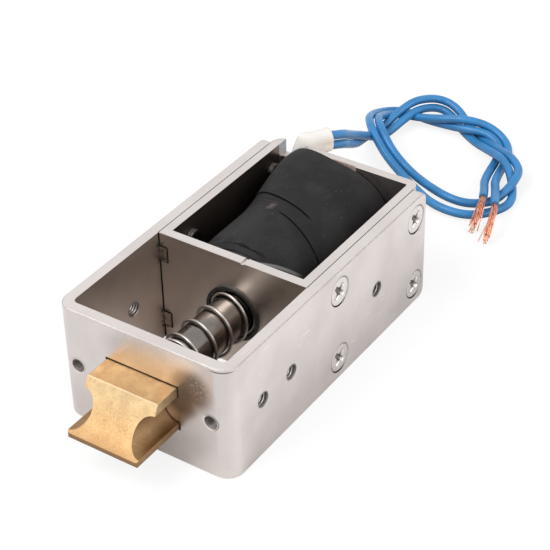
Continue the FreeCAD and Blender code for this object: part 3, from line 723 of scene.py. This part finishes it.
def shell(name, grids, material, uv_name=None):
    """One mesh of quads. Each grid holds points as rows, columns and 3 coordinates in metres,
    and may come with a grid of the same size that holds its pattern coordinates."""
    vertices = []
    quads = []
    patterns = []
    start = 0
    for grid in grids:
        points, pattern = grid if isinstance(grid, tuple) else (grid, grid[..., :2])
        rows, columns = points.shape[:2]
        index = start + np.arange(rows * columns).reshape(rows, columns)
        faces = np.stack([index[:-1, :-1], index[:-1, 1:], index[1:, 1:], index[1:, :-1]], axis=-1)
        vertices.append(points.reshape(-1, 3))
        quads.append(faces.reshape(-1, 4))
        patterns.append(pattern.reshape(-1, 2))
        start += rows * columns
    vertices = np.concatenate(vertices)
    quads = np.concatenate(quads)
    mesh = bpy.data.meshes.new(name)
    mesh.vertices.add(len(vertices))
    mesh.vertices.foreach_set("co", vertices.astype(np.float32).ravel())
    mesh.loops.add(quads.size)
    mesh.loops.foreach_set("vertex_index", quads.astype(np.int32).ravel())
    mesh.polygons.add(len(quads))
    mesh.polygons.foreach_set("loop_start", np.arange(0, quads.size, 4, dtype=np.int32))
    mesh.update(calc_edges=True)
    if uv_name:
        layer = mesh.uv_layers.new(name=uv_name)
        picked = np.concatenate(patterns)[quads.ravel()]
        layer.data.foreach_set("uv", picked.astype(np.float32).ravel())
    work = bmesh.new()
    work.from_mesh(mesh)
    bmesh.ops.remove_doubles(work, verts=work.verts, dist=1e-6)
    bmesh.ops.recalc_face_normals(work, faces=work.faces)
    work.to_mesh(mesh)
    work.free()
    mesh.shade_smooth()
    mesh.materials.append(material)
    piece = bpy.data.objects.new(name, mesh)
    bpy.context.scene.collection.objects.link(piece)
    return piece


def tube(path, radius, columns, around=(0, 0, 1)):
    """A round wall at radius from each point of the path, square to the path there. The
    direction called around is never along the path, and sets where a row starts."""
    ahead = np.gradient(path, axis=0)
    ahead /= np.linalg.norm(ahead, axis=1, keepdims=True)
    side = np.cross(ahead, np.broadcast_to(around, ahead.shape))
    side /= np.linalg.norm(side, axis=1, keepdims=True)
    up = np.cross(side, ahead)
    turn = np.linspace(0, 2 * np.pi, columns, endpoint=False)[None, :, None]
    radius = np.broadcast_to(radius, len(path))[:, None, None]
    ring = np.cos(turn) * side[:, None] + np.sin(turn) * up[:, None]
    return capped(closed(path[:, None] + radius * ring))


def place(piece, body, slot, replaced=()):
    """Let a piece ride on a body, and hide the parts that it stands for. The slot is not used."""
    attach(piece, body)
    if replaced:
        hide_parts(*replaced)


# Leads
def lead_points(side):
    """Points of one lead's line: the middle of the pair, plus or minus half its distance
    along a line that turns about it."""
    route = np.array(LEAD_ROUTE)
    middles = route[:, :3] * MM
    ahead = np.concatenate([middles[1:], middles[-1:]]) - np.concatenate([middles[:1], middles[:-1]])
    across = np.stack([ahead[:, 1], -ahead[:, 0], 0 * ahead[:, 0]], axis=1)
    across /= np.linalg.norm(across, axis=1, keepdims=True)
    turn = np.radians(route[:, 3:4])
    apart = across * np.cos(turn) + np.array([0, 0, 1]) * np.sin(turn)
    points = middles + apart * (side * route[:, 4:5] * MM / 2)
    points[-1] -= ahead[-1] / np.linalg.norm(ahead[-1]) * side * LEAD_STAGGER
    return points


def smooth_curve(name, points):
    """A curve object whose one NURBS spline has the points as its control points."""
    curve = bpy.data.curves.new(name, "CURVE")
    curve.dimensions = "3D"
    curve.resolution_u = 10
    spline = curve.splines.new("NURBS")
    spline.points.add(len(points) - 1)
    rows = np.concatenate([points, np.ones((len(points), 1))], axis=1)
    spline.points.foreach_set("co", rows.ravel())
    spline.order_u = 3
    spline.use_endpoint_u = True
    piece = bpy.data.objects.new(name, curve)
    bpy.context.scene.collection.objects.link(piece)
    return piece


def line_of(curve):
    """The points that a curve with no bevel runs through, in order."""
    bpy.context.view_layer.update()
    mesh = bpy.data.meshes.new_from_object(curve)
    points = np.zeros(len(mesh.vertices) * 3)
    mesh.vertices.foreach_get("co", points)
    bpy.data.meshes.remove(mesh)
    return points.reshape(-1, 3)


def strand_bundle(letter, points, tip, material):
    """Bare strands that run on from a lead. Each strand keeps its place in the bundle, which
    twists slowly, and the strands fan out and end at different lengths towards the tip."""
    end = points[-1]
    ahead = (end - points[-2]) / np.linalg.norm(end - points[-2])
    guide = smooth_curve("strand_guide", np.array([end - ahead * MM, end, end + ahead * 3 * MM, tip]))
    line = line_of(guide)
    bpy.data.objects.remove(guide)
    steps = np.concatenate([[0], np.cumsum(np.linalg.norm(np.diff(line, axis=0), axis=1))])
    share = np.linspace(0, 1, STRAND_ROWS)
    path = np.stack([np.interp(share * steps[-1], steps, line[:, k]) for k in range(3)], axis=1)
    side = np.cross(np.gradient(path, axis=0), (0, 0, 1))
    side /= np.linalg.norm(side, axis=1, keepdims=True)
    rise = np.cross(side, np.gradient(path, axis=0))
    rise /= np.linalg.norm(rise, axis=1, keepdims=True)
    random = np.random.default_rng(11 + LEAD_SIDES[letter])
    radius = sizes().strand_diameter / 2
    low, high = np.array(CAD_BOX)
    grids = []
    for distance, count in STRAND_LAYERS:
        for k in range(count):
            fan = random.uniform(0.1, 0.6) if random.uniform() < 0.72 else random.uniform(1.0, 2.2)
            stop = random.uniform(0.76, 1.0)
            turn = 2 * np.pi * (k + random.uniform(-0.2, 0.2)) / count + 1.9 * share * stop
            reach = distance * (1 + fan * (share * stop) ** 2) + 0.07 * MM * np.sin(7 * share + k)
            middle = np.stack([np.interp(share * stop, share, path[:, i]) for i in range(3)], axis=1)
            offset = side * np.cos(turn)[:, None] + rise * np.sin(turn)[:, None]
            strand = np.clip(middle + offset * reach[:, None], low + radius, high - radius)
            grids.append(tube(strand, radius, 7))
    return shell("copper_strands_" + letter, grids, material)


class SOLENOID_OT_leads(bpy.types.Operator):
    """Lay the two blue leads and fan out their bare copper strands"""

    bl_idname = "solenoid.leads"
    bl_label = "Leads and strands"

    def execute(self, context):
        blue = lead_insulation()
        copper = bare_copper()
        diameter = sizes().wire_diameter
        for letter, side in LEAD_SIDES.items():
            points = lead_points(side)
            lead = smooth_curve("blue_lead_" + letter, points)
            lead.data.bevel_depth = diameter / 2
            lead.data.bevel_resolution = 6
            lead.data.use_fill_caps = True
            lead.data.materials.append(blue)
            strands = strand_bundle(letter, points, STRAND_TIPS[letter], copper)
            place(lead, FIXED, "wire_blue", ["lead_wire_" + letter])
            place(strands, FIXED, "strand_copper", ["wire_strands_" + letter])
        return {"FINISHED"}


# Spring
def spring_rise(turn, turns, free):
    """Rise of the spring's wire along the axis. Closed turns lie together at both ends, and
    the rise per turn grows smoothly over half a turn to the even rise of the open turns."""
    closed_turns = sizes().spring_closed_turns
    blend = 0.5
    step = sizes().spring_wire + 0.03 * MM
    extra = (free - turns * step) / (turns - 2 * closed_turns - blend)

    def first_half(t):
        """The even step of turns that lie together, plus the extra rise of the open turns,
        which begins as a curve of the third and fourth power of the way through the blend."""
        into = np.maximum(0.0, t - closed_turns)
        u = np.minimum(1.0, into / blend)
        return step * t + extra * (blend * (u**3 - u**4 / 2) + np.maximum(0.0, into - blend))

    return np.where(turn > turns / 2, free - first_half(turns - turn), first_half(turn))


class SOLENOID_OT_spring(bpy.types.Operator):
    """Wind the return spring between the ring on the plunger and its seat in the bobbin"""

    bl_idname = "solenoid.spring"
    bl_label = "Return spring"

    def execute(self, context):
        wire = sizes().spring_wire
        radius = sizes().spring_radius - wire / 2
        turns = sizes().spring_open_turns + 2 * sizes().spring_closed_turns
        free = SPRING_SEAT_Y - SPRING_FRONT_Y - wire
        turn = np.linspace(0, turns, round(turns * 48) + 1)
        angle = 2 * np.pi * (turn - 0.27)
        y = SPRING_FRONT_Y + wire / 2 + spring_rise(turn, turns, free)
        path = np.stack([radius * np.cos(angle), y, AXIS_Z + radius * np.sin(angle)], axis=1)
        steel = turned_metal("spring_steel", (0.42, 0.39, 0.365), 0.26, 0.001, 0.35)
        spring = shell("coil_spring", [tube(path, wire / 2, 14, (0, 1, 0))], steel)
        place(spring, FIXED, "spring_steel", ["return_spring"])
        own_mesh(spring)
        return {"FINISHED"}


# Taped coil
def bell(value, middle, width):
    """1 at the middle, falling off to both sides: e to the minus square of the distance, as
    counted in widths."""
    return np.exp(-(((value - middle) / width) ** 2))


def step_up(value, middle, width):
    """0 below the middle and 1 above it, with a smooth rise of that width."""
    u = np.clip((value - middle) / width + 0.5, 0, 1)
    return u * u * (3 - 2 * u)


def lap_edge(turn, lap):
    """Share of the coil's length where a lap ends: its middle plus one sine wave per turn."""
    middle, height, start = TAPE_LAPS[lap]
    return middle + height * np.sin(np.radians(turn - start))


def tape_surface(turn, share):
    """Outside of the taped coil in metres. The radius is largest in the middle, falls off at
    both ends, swells over the pad for the lead joints towards the rear, steps where one lap
    of tape ends on another, and is lifted by a few soft creases."""
    crown = sizes().tape_radius - 0.5 * MM * (2 * share - 1) ** 4
    growth = np.maximum(0, share - PAD_START) / (1 - PAD_START)
    off = (turn - PAD_TURN + 180) % 360 - 180
    swell = sizes().pad_height * np.sin(growth * np.pi / 2) ** 1.5 * np.exp(-2 * (off / PAD_SPREAD) ** 2)
    rear_lap = 0.22 * MM * (step_up(share, lap_edge(turn, 0), 0.006) * step_up(turn, 66, 16) - 1)
    shown = step_up(turn, 10, 30) * step_up(-turn, -94, 12)
    front_lap = 0.2 * MM * (step_up(share, lap_edge(turn, 1), 0.006) - 1) * shown
    ribs = 0.07 * MM * np.sin(2 * np.pi * share / 0.024 + turn * 0.05)
    ribs = ribs * bell(turn, 99, 9) * bell(share, 0.40, 0.05)
    crescents = 0.09 * MM * np.cos(2 * np.pi * (share - 0.0018 * turn) / 0.03)
    crescents = crescents * bell(turn, 112, 14) * bell(share, 0.51, 0.035)
    angle = np.radians(turn)
    creases = 0.05 * MM * (np.sin(angle * 5 + share * 7) * np.sin(share * 11 + 0.5) - 1)
    folds = 0.35 * MM * (1 + 0.5 * np.sin(angle * 18))
    folds = folds * bell(share, 0.06 + 0.0004 * (turn - 90), 0.03) * bell(turn, 96, 30)
    rounding = 0.7 * MM * (1 - step_up(share, 0.02, 0.06)) * (0.4 + 0.6 * bell(turn, 130, 40))
    radius = crown + swell + rear_lap + front_lap + ribs - crescents + creases - folds - rounding
    x = np.maximum(radius * np.cos(angle), 0.4 * MM - COIL_HALF)
    z = np.maximum(AXIS_Z + radius * np.sin(angle), 0.25 * MM)
    y = TAPE_FRONT_Y + (TAPE_REAR_Y - TAPE_FRONT_Y) * share
    return np.stack([x, y + 0 * x, z], axis=-1)


class SOLENOID_OT_tape(bpy.types.Operator):
    """Wrap the coil in laps of black cloth tape with its pad over the lead joints"""

    bl_idname = "solenoid.tape"
    bl_label = "Coil tape"

    def execute(self, context):
        turn, share = np.meshgrid(np.linspace(0, 360, 289), np.linspace(0, 1, 321))
        outside = tape_surface(turn, share)
        angle = np.radians(turn[:1])
        core = np.stack(
            [TAPE_BORE * np.cos(angle), outside[:1, :, 1], AXIS_Z + TAPE_BORE * np.sin(angle)], axis=-1)
        rear = core.copy()
        rear[..., 1] = TAPE_REAR_Y
        points = np.concatenate([core, outside, rear, core])
        around = np.concatenate([turn[:1], turn, turn[:1], turn[:1]]) / 360 * TAPE_GIRTH
        along = np.concatenate([share[:1] - 0.05, share, share[-1:] + 0.05, share[-1:] + 0.1])
        pattern = np.stack([around, along * TAPE_LENGTH], axis=-1)
        tape = shell("tape_laps", [(points, pattern)], cloth_tape(), "wrap")
        place(tape, FIXED, "black_tape", ["coil_tape"])
        return {"FINISHED"}


# Sleeve round the leads
class SOLENOID_OT_sleeve(bpy.types.Operator):
    """Shape the soft white sleeve that the leads come out of"""

    bl_idname = "solenoid.sleeve"
    bl_label = "Lead sleeve"

    def execute(self, context):
        turn_out = math.radians(36.87)
        ahead = np.array([math.sin(turn_out), math.cos(turn_out), 0])
        across = np.array([math.cos(turn_out), -math.sin(turn_out), 0])
        mouth = np.array([-7.1 * MM, PLATE_Y + 70.0 * MM, 23.2 * MM])
        length = 8.2 * MM
        turn, share = np.meshgrid(np.linspace(0, 2 * np.pi, 97), np.linspace(0, 1, 60))

        def wall(inset):
            """An upright oval whose half width and half height swell a little in waves along
            the sleeve, pulled in by inset. Its rear end leans, its mouth is flared and bulges
            below, and both ends are rounded over."""
            cos, sin = np.cos(turn), np.sin(turn)
            flare = 0.08 * MM * bell(share, 1.0, 0.12)
            pinch = 1 - 0.8 * np.clip(1 - share / 0.3, 0, 1) ** 2
            fold = 0.35 * MM * bell(share, 0.9, 0.14) * bell(np.degrees(turn), 320, 28)
            half = (1.4 * pinch - inset) * MM * (1 + 0.05 * np.sin(6 * share + 1) * sin) + flare
            half = np.maximum(half, (0.3 - 0.5 * inset) * MM)
            rise = (2.38 - inset) * MM * (1 + 0.02 * np.sin(9 * share)) + flare
            near_end = np.clip((np.abs(2 * share - 1) * 1.04 - 0.04) ** 24, 0, 1)
            tuck = 0.12 * MM * (1 - np.sqrt(1 - near_end))
            squared = 0.78
            x = np.sign(cos) * np.abs(cos) ** squared * (half - tuck + fold)
            z = np.sign(sin) * np.abs(sin) ** squared * (rise - tuck)
            along = (share - 1) * length + (1 - share) ** 2 * (0.9 * MM + z * 0.4)
            along = along + 0.35 * MM * share**6 * (1 - (z / rise) ** 2)
            return mouth + x[..., None] * across + z[..., None] * [0, 0, 1] + along[..., None] * ahead

        outside = wall(0.0)
        inside = wall(0.35)[::-1]
        points = np.concatenate([outside, inside, outside[:1]])
        around = np.broadcast_to(turn[:1] / (2 * np.pi) * 12 * MM, points.shape[:2])
        along = np.linspace(0, 2 * length, len(points))[:, None] + 0 * around
        pattern = np.stack([around, along], axis=-1)
        sleeve = shell("soft_sleeve", [(points, pattern)], soft_sleeve(), "wrap")
        place(sleeve, FIXED, "sleeve_white", ["lead_sleeve"])
        return {"FINISHED"}


# Threads
def thread_ridge(radius, depth, start, direction, length, pitch):
    """A V-shaped ridge that winds along the X axis. Its cross-section goes from the wall at
    radius, inwards by depth, and back into the wall; it fades at both ends."""
    turns = length / pitch
    count = max(12, round(turns * 28))
    turn = np.linspace(0, turns, count)[:, None]
    fade = np.clip(np.minimum(turn, turns - turn) / 0.4, 0, 1)
    profile = np.array([[-0.42, -0.03], [-0.08, 1.0], [0.08, 1.0], [0.42, -0.03], [0.0, -0.25]])
    profile = np.concatenate([profile, profile[:1]])[None]
    r = radius - depth * profile[..., 1] * np.where(profile[..., 1] > 0, fade, 1)
    x = start + direction * (turn * pitch + profile[..., 0] * pitch)
    angle = 2 * np.pi * turn
    return np.stack([x, r * np.cos(angle), AXIS_Z + r * np.sin(angle)], axis=-1)


def screw_surface(side, y, rise, turned):
    """A countersunk screw from its flat head to its end, turned about the X axis. The head is
    sunk by the recess depth where one of two crossed arms is, and the arms flare in the
    middle; turned is how far the cross is turned in degrees."""
    turn = np.linspace(0, 2 * np.pi, 97)[None, :]
    radius = np.concatenate([np.linspace(0, 1.9, 30), np.linspace(1.96, 2.66, 6)])[:, None] * MM
    along = radius * np.cos(turn - math.radians(turned))
    across = radius * np.sin(turn - math.radians(turned))

    def arm(a, b):
        """1 in an arm of the cross and 0 beside it, at a along the arm and b across it. Its
        half width is a bell on top of an even width."""
        half = (0.36 + 0.34 * np.exp(-((a / (0.75 * MM)) ** 2))) * MM
        return (1 - step_up(abs(b), half, 0.2 * MM)) * (1 - step_up(abs(a), 1.65 * MM, 0.35 * MM))

    cross = np.maximum(arm(along, across), arm(across, along))
    sunk = 0.1 * MM + cross * MM * (1.15 - 0.45 * radius / MM)
    head = np.stack(np.broadcast_arrays(radius, sunk, turn), axis=-1)
    profile = [(2.74, 0.12), (2.77, 0.16), (2.5, 0.45), (1.5, 1.45), (1.5, 4.9), (1.4, 5.0), (0, 5.0)]
    profile = np.array(profile) * MM
    rest = np.stack(np.broadcast_arrays(profile[:, :1], profile[:, 1:], turn), axis=-1)
    r, depth, angle = np.moveaxis(np.concatenate([head, rest]), -1, 0)
    return np.stack(
        [side * (HALF_WIDTH - depth), y + r * np.cos(angle), AXIS_Z + rise + r * np.sin(angle)], axis=-1)


class SOLENOID_OT_threads(bpy.types.Operator):
    """Cut the threads of the six tapped side holes, and turn the eight screws"""

    bl_idname = "solenoid.threads"
    bl_label = "Threads and screws"

    def execute(self, context):
        pitch = sizes().thread_pitch
        depth = sizes().thread_depth
        holes = []
        screws = []
        for side in (-1, 1):
            for y, length in zip(TAPPED_YS, (SHEET, SHEET, SHEET + FRAME_SHEET)):
                start = side * (HALF_WIDTH - 0.3 * MM)
                ridge = thread_ridge(TAPPED_RADIUS, depth, start, -side, length - 0.5 * MM, pitch)
                holes.append(capped(ridge + [0, y, 0]))
            for y in SCREW_YS:
                for rise, turned in ((-SCREW_RISE, 20 + 25 * side), (SCREW_RISE, 62 - 18 * side)):
                    screws.append(screw_surface(side, y, rise, turned))
                    ridge = thread_ridge(1.49 * MM, -0.12 * MM, side * COIL_HALF, -side, 0.8 * MM, pitch)
                    screws.append(capped(ridge + [0, y, rise]))
        place(shell("tapped_threads", holes, shaded_thread_metal()), FIXED, "nickel_plate")
        heads = [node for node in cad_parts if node.startswith("screw_")]
        place(shell("countersunk_screws", screws, zinc_plate()), FIXED, "zinc_screw", heads)
        return {"FINISHED"}


# Finishes of the parts that keep their shape
class SOLENOID_OT_finishes(bpy.types.Operator):
    """Give the bracket, plates, bolt, plunger and hidden parts their finishes"""

    bl_idname = "solenoid.finishes"
    bl_label = "Finishes"

    def execute(self, context):
        finishes = {
            "outer_bracket": nickel_plate("bracket_plate"),
            "coil_frame": nickel_plate("coil_frame_plate", tint=0.97, rough=0.24),
            # The yoke's bay colour is a lighter painted reflection.
            "yoke_plate": nickel_plate("yoke_sheet", rough=0.24, bay=(0.81, 0.72, 0.655)),
            "plunger": turned_metal("plunger_nickel", (0.22, 0.2, 0.184), 0.13, 0.003, 0.5),
            "fixed_core": turned_metal("core_iron", (0.5, 0.48, 0.46), 0.3, 0.006, 0.5),
            "bolt_pin": turned_metal("pin_steel", (0.5, 0.49, 0.47), 0.25, 0.003, 0.4),
            "latch_bolt": cast_brass(),
            "retaining_ring": black_oxide(),
            "coil_bobbin": moulded_nylon(),
            "coil_winding": enamelled_winding(),
            "insulation_paper": fibre_paper(),
        }
        for node, material in finishes.items():
            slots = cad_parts[node].data.materials
            slots.clear()
            slots.append(material)
        return {"FINISHED"}


# Stage
def lamp(name, place, target, size, power):
    """A soft square lamp at a place in metres that points at the target."""
    data = bpy.data.lights.new(name, "AREA")
    data.size = size
    data.energy = power
    made = bpy.data.objects.new(name, data)
    bpy.context.scene.collection.objects.link(made)
    away = np.array(place, float) - np.array(target, float)
    away /= np.linalg.norm(away)
    right = np.cross((0, 0, 1), away)
    right /= np.linalg.norm(right)
    turn = np.column_stack([right, np.cross(away, right), away])
    made.matrix_world = Matrix.Translation(place) @ Matrix(turn.tolist()).to_4x4()


class SOLENOID_OT_stage(bpy.types.Operator):
    """Set the floor, the soft lights and the camera"""

    bl_idname = "solenoid.stage"
    bl_label = "Stage"

    def execute(self, context):
        scene = context.scene
        scene.view_settings.view_transform = "Standard"
        look = Look("floor_paper")
        grain = look.noise(3, detail=2)
        pale = list(colours().floor)
        paper = look.node("BsdfDiffuse", sockets={
            "Color": look.mix(grain, pale, [c * 0.985 for c in pale]), "Roughness": 0.9})
        glow = look.node("Emission", sockets={"Color": (1, 1, 1), "Strength": 1.0})
        seen = look.node("LightPath", output="Is Camera Ray")
        look.node("OutputMaterial", sockets={
            "Surface": look.node("MixShader", sockets={0: seen * 0.8, 1: paper, 2: glow})})
        half = 3.0
        across, along = np.meshgrid([-half, half], [-half, half])
        floor = shell("floor", [np.stack([across, along, 0 * across - 0.02 * MM], axis=-1)], look.owner)
        scene.world = bpy.data.worlds.new("soft_room")
        room = Look("soft_room", scene.world)
        seen = room.node("LightPath", output="Is Camera Ray")
        seen = seen.most(room.node("LightPath", output="Is Glossy Ray"))
        sky = room.node("Background", sockets={"Color": (1, 1, 1), "Strength": seen * 0.38 + 0.62})
        room.node("OutputWorld", sockets={"Surface": sky})
        middle = (0, 0.02, 0.01)
        lamp("key", (-0.25, -0.45, 0.75), middle, 0.5, 5.0)
        lamp("fill", (0.7, -0.1, 0.45), middle, 0.6, 2.5)
        camera = bpy.data.cameras.new("photo_camera")
        camera.sensor_width = 36
        camera.lens = 113.37
        camera.clip_start = 0.01
        eye = bpy.data.objects.new("photo_camera", camera)
        scene.collection.objects.link(eye)
        right = (0.8313, 0.5554, -0.0201)
        up = (-0.31198, 0.49632, 0.81014)
        back = (0.45998, -0.66720, 0.58589)
        turn = np.column_stack([right, up, back])
        eye.matrix_world = Matrix.Translation((0.14634, -0.20187, 0.19828)) @ Matrix(turn.tolist()).to_4x4()
        scene.camera = eye
        return {"FINISHED"}


class SOLENOID_PT_panel(bpy.types.Panel):
    bl_label = "Solenoid"
    bl_idname = "SOLENOID_PT_panel"
    bl_space_type = "VIEW_3D"
    bl_region_type = "UI"
    bl_category = "Solenoid"

    def draw(self, context):
        for operator in OPERATORS:
            self.layout.operator(operator.bl_idname)
        for group in (context.scene.solenoid_sizes, context.scene.solenoid_colours):
            for name in group.__annotations__:
                self.layout.prop(group, name)


OPERATORS = (
    SOLENOID_OT_stage,
    SOLENOID_OT_leads,
    SOLENOID_OT_finishes,
    SOLENOID_OT_spring,
    SOLENOID_OT_tape,
    SOLENOID_OT_sleeve,
    SOLENOID_OT_threads,
)
CLASSES = (SolenoidSizes, SolenoidColours, *OPERATORS, SOLENOID_PT_panel)


def register():
    for group in CLASSES:
        bpy.utils.register_class(group)
    bpy.types.Scene.solenoid_sizes = PointerProperty(type=SolenoidSizes)
    bpy.types.Scene.solenoid_colours = PointerProperty(type=SolenoidColours)


def unregister():
    del bpy.types.Scene.solenoid_colours
    del bpy.types.Scene.solenoid_sizes
    for group in reversed(CLASSES):
        bpy.utils.unregister_class(group)


def main():
    register()
    bpy.ops.solenoid.stage()
    bpy.ops.solenoid.leads()
    bpy.ops.solenoid.finishes()
    bpy.ops.solenoid.spring()
    bpy.ops.solenoid.tape()
    bpy.ops.solenoid.sleeve()
    bpy.ops.solenoid.threads()


if __name__ == "__main__":
    main()
